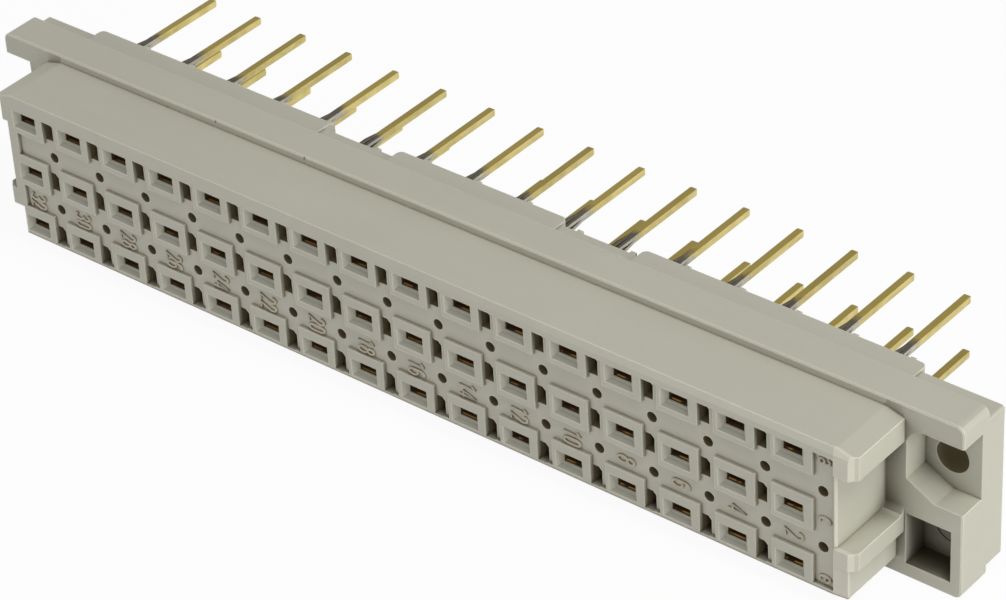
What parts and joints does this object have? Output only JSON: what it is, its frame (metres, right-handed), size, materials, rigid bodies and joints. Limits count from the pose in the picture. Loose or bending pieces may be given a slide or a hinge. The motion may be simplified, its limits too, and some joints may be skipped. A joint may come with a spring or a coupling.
{
  "type": "backplane connector",
  "caption": "Female backplane connector: a long light-grey moulded housing with rows of socket openings on its face, a screw hole in each end ear, and gold-plated posts behind.",
  "frame": {"origin": "middle of the contact grid, on the plane of the seat ribs that meets the board", "axes": "+X along the rows towards position 2, +Y out through the board along the posts, +Z towards row a"},
  "size_m": [0.095, 0.023, 0.0155],
  "materials": {
    "housing_plastic": "matt, moulded",
    "contact_metal": "gold-plated posts, tinned press-in zones"
  },
  "bodies": {
    "root": {"housing": "housing_plastic", "contact_a32": "contact_metal", "contact_a30": "contact_metal", "contact_a28": "contact_metal", "contact_a26": "contact_metal", "contact_a24": "contact_metal", "contact_a22": "contact_metal", "contact_a20": "contact_metal", "contact_a18": "contact_metal", "contact_a16": "contact_metal", "contact_a14": "contact_metal", "contact_a12": "contact_metal", "contact_a10": "contact_metal", "contact_a08": "contact_metal", "contact_a06": "contact_metal", "contact_a04": "contact_metal", "contact_a02": "contact_metal", "contact_c32": "contact_metal", "contact_c30": "contact_metal", "contact_c28": "contact_metal", "contact_c26": "contact_metal", "contact_c24": "contact_metal", "contact_c22": "contact_metal", "contact_c20": "contact_metal", "contact_c18": "contact_metal", "contact_c16": "contact_metal", "contact_c14": "contact_metal", "contact_c12": "contact_metal", "contact_c10": "contact_metal", "contact_c08": "contact_metal", "contact_c06": "contact_metal", "contact_c04": "contact_metal", "contact_c02": "contact_metal", "contact_e32": "contact_metal", "contact_e30": "contact_metal", "contact_e28": "contact_metal", "contact_e26": "contact_metal", "contact_e24": "contact_metal", "contact_e22": "contact_metal", "contact_e20": "contact_metal", "contact_e18": "contact_metal", "contact_e16": "contact_metal", "contact_e14": "contact_metal", "contact_e12": "contact_metal", "contact_e10": "contact_metal", "contact_e08": "contact_metal", "contact_e06": "contact_metal", "contact_e04": "contact_metal", "contact_e02": "contact_metal"}
  },
  "joints": []
}
